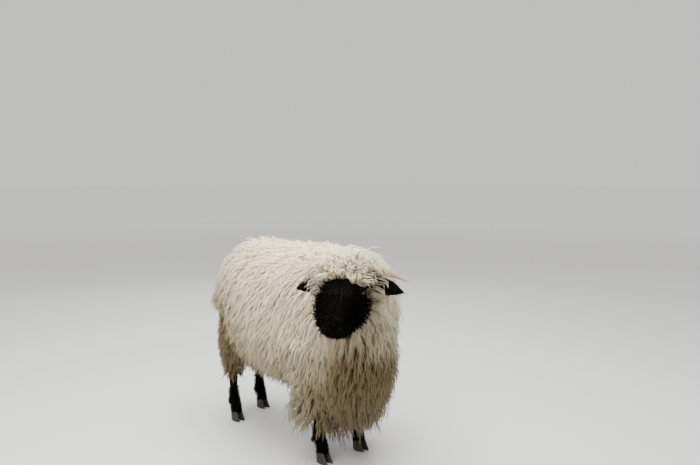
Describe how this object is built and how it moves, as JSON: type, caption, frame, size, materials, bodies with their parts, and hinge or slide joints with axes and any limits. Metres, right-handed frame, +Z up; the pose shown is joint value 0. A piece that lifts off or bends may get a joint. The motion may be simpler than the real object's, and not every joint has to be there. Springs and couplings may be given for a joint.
{
  "type": "valais blacknose sheep",
  "caption": "Life-size standing ewe in long hanging fleece, with a black face, drooping black ears and thin sideways horns, its head turned to its right.",
  "frame": {"origin": "centre of the bounding box on the ground that the claws stand on", "axes": "+Z up; the body faces -Y, so its own left side is +X; the head is turned towards -X"},
  "size_m": [0.6466, 1.2558, 0.8564],
  "materials": {
    "fleece": "long wavy off-white wool locks, greyer and browner low down",
    "black_coat": "short dull black wool and hair",
    "skin": "bare dark skin of nose, lips and eyelids",
    "horn": "ridged pinkish tan horn, semi-matt",
    "eye": "wet dark brown eye",
    "claw": "dark dull hoof horn"
  },
  "bodies": {
    "root": {"ear_left": "black_coat", "horn_left": "horn", "eye_left": "eye", "ear_right": "black_coat", "horn_right": "horn", "eye_right": "eye", "tail": "fleece", "leg_front_left": "fleece", "leg_hind_left": "fleece", "leg_front_right": "fleece", "leg_hind_right": "fleece", "head": "fleece", "neck": "fleece", "torso": "fleece", "claw_front_left_outer": "claw", "claw_front_left_inner": "claw", "claw_hind_left_outer": "claw", "claw_hind_left_inner": "claw", "claw_front_right_outer": "claw", "claw_front_right_inner": "claw", "claw_hind_right_outer": "claw", "claw_hind_right_inner": "claw"}
  },
  "joints": []
}
